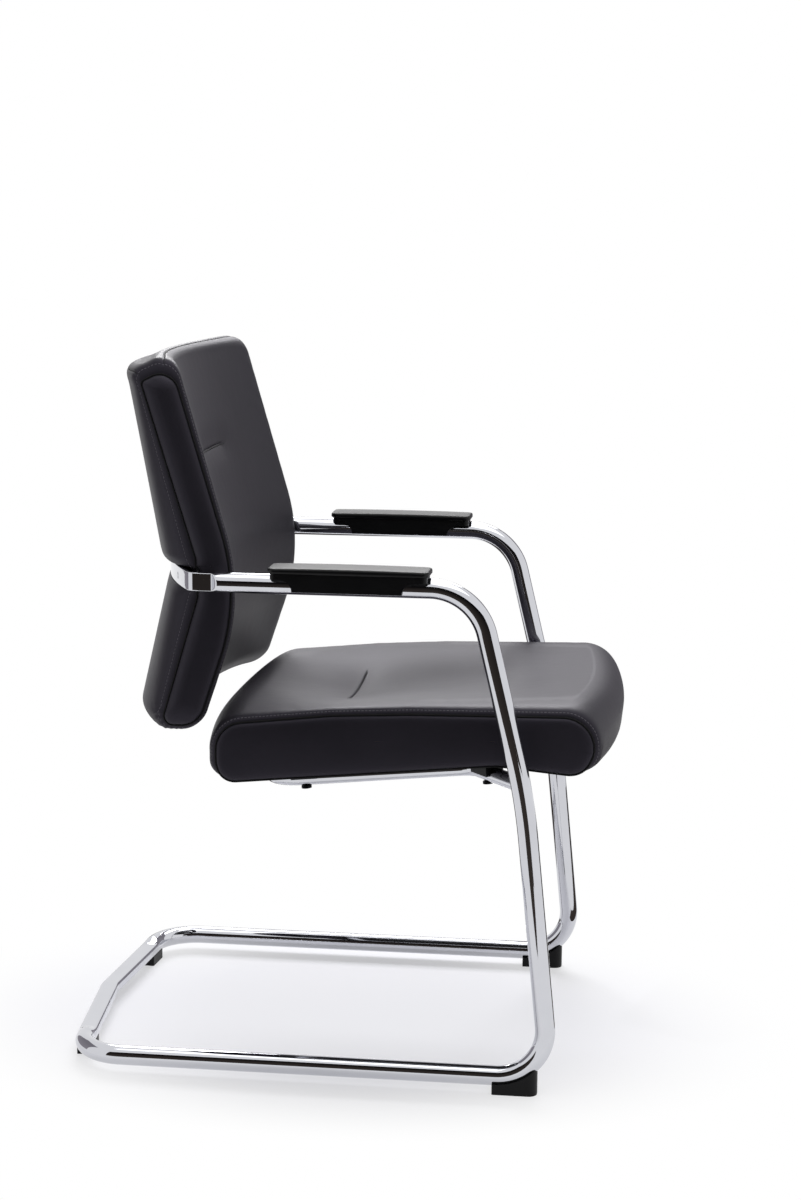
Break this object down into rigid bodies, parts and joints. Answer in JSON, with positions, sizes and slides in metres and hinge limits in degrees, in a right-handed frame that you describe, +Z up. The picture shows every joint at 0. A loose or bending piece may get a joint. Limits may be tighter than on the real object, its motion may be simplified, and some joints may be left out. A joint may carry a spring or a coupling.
{
  "type": "cantilever conference chair",
  "caption": "Cantilever armchair with a bent chrome tube frame, padded black leather seat and curved backrest, flat back band and black arm pads.",
  "frame": {"origin": "on the floor, under the middle of the chair's bounding box", "axes": "+X forward, the way the sitter faces; +Y to the sitter's left; +Z up"},
  "size_m": [0.7051, 0.543, 0.8963],
  "materials": {
    "chromed_tube": "polished",
    "zinc_steel": "satin",
    "black_steel": "satin",
    "black_moulding": "satin",
    "black_skin_foam": "satin",
    "black_leather": "satin",
    "black_lining": "matte",
    "foam": "matte",
    "plywood": "matte"
  },
  "bodies": {
    "base": {"floor_crossbar": "chromed_tube", "left_runner": "chromed_tube", "right_runner": "chromed_tube", "runner_sleeves": "zinc_steel", "left_front_foot": "black_moulding", "right_front_foot": "black_moulding", "left_rear_foot": "black_moulding", "right_rear_foot": "black_moulding", "foot_screws": "zinc_steel"},
    "upper": {"arm_pad_screws": "zinc_steel", "back_band": "chromed_tube", "back_cover": "black_leather", "back_foam": "foam", "back_inserts": "zinc_steel", "back_shell": "black_moulding", "band_screws": "zinc_steel", "band_spacers": "black_moulding", "left_arm_pad": "black_skin_foam", "left_arm_tube": "chromed_tube", "left_pad_base": "black_moulding", "right_arm_pad": "black_skin_foam", "right_arm_tube": "chromed_tube", "right_pad_base": "black_moulding", "seat_board": "plywood", "seat_bolts": "black_steel", "seat_cover": "black_leather", "seat_foam": "foam", "seat_hoop": "chromed_tube", "seat_saddles": "black_moulding", "seat_tee_nuts": "zinc_steel", "seat_under_cover": "black_lining"}
  },
  "joints": [
    {"name": "cantilever_flex", "type": "hinge", "parent": "base", "child": "upper", "pos_m": [0.27075, 0, 0.11], "axis": [0, -1, 0], "range_deg": [-1, 4], "stiffness_Nm_per_rad": 4500, "springref_deg": -0.38}
  ]
}
